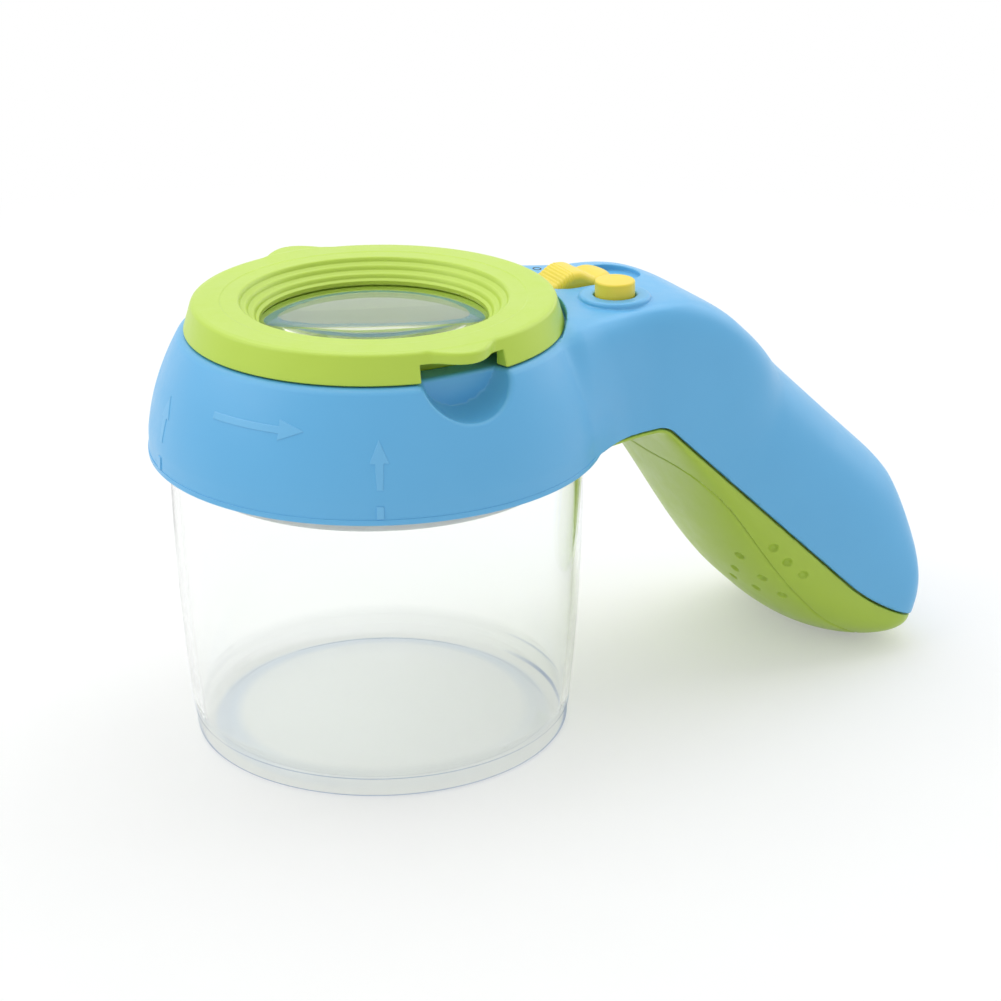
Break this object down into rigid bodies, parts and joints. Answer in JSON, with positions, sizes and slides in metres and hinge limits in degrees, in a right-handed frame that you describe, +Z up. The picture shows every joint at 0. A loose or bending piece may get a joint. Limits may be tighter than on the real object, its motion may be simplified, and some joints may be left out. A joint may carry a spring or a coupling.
{
  "type": "bug catcher jar",
  "caption": "Clear cup under a lit collar with a lift-off magnifier ring, a bent handle, a slide switch and a push button.",
  "frame": {"origin": "centre of the jar's foot, on the table", "axes": "+Z up through the jar, +X from the jar towards the handle's tip, +Y to the left of the handle"},
  "size_m": [0.1644, 0.09, 0.0893],
  "materials": {
    "clear_plastic": "clear moulded plastic",
    "blue_plastic": "satin moulded plastic",
    "green_plastic": "satin moulded plastic",
    "lime_plastic": "satin moulded plastic",
    "yellow_plastic": "satin moulded plastic",
    "frosted_plastic": "frosted white plastic",
    "black_plastic": "plain black plastic",
    "bright_metal": "nickel-plated steel",
    "board_green": "lacquered circuit board",
    "lamp_white": "clear lamp resin",
    "battery_grey": "plain battery sleeve",
    "red_wire": "wire insulation"
  },
  "bodies": {
    "head": {"upper_shell": "blue_plastic", "lower_shell": "green_plastic", "battery_door": "green_plastic", "light_ring": "frosted_plastic", "slide_switch": "bright_metal", "button_spring": "bright_metal", "push_switch": "black_plastic", "circuit_board": "board_green", "lamp": "lamp_white", "battery_left": "battery_grey", "battery_right": "battery_grey", "battery_springs": "bright_metal", "battery_contacts": "bright_metal", "lamp_wires": "red_wire", "battery_wires": "black_plastic", "shell_screws": "bright_metal", "door_screw": "bright_metal", "board_screws": "bright_metal"},
    "jar": {"jar": "clear_plastic"},
    "magnifier": {"lens_ring": "lime_plastic", "magnifier_lens": "clear_plastic", "lens_clip": "lime_plastic"},
    "light_slider": {"slide_knob": "yellow_plastic", "switch_lever": "black_plastic"},
    "button": {"push_button": "yellow_plastic"}
  },
  "joints": [
    {"name": "jar_turn", "type": "hinge", "parent": "head", "child": "jar", "pos_m": [0, 0, 0.06], "axis": [0, 0, 1], "range_deg": [0, 60]},
    {"name": "magnifier_lift", "type": "slide", "parent": "head", "child": "magnifier", "axis": [0, 0, 1], "range_m": [0, 0.012]},
    {"name": "slider_slide", "type": "slide", "parent": "head", "child": "light_slider", "axis": [1, 0, 0], "range_m": [0, 0.0062]},
    {"name": "button_press", "type": "slide", "parent": "head", "child": "button", "axis": [0, 0, -1], "range_m": [0, 0.0012], "stiffness_N_per_m": 400, "deforming": ["button_spring"]}
  ]
}
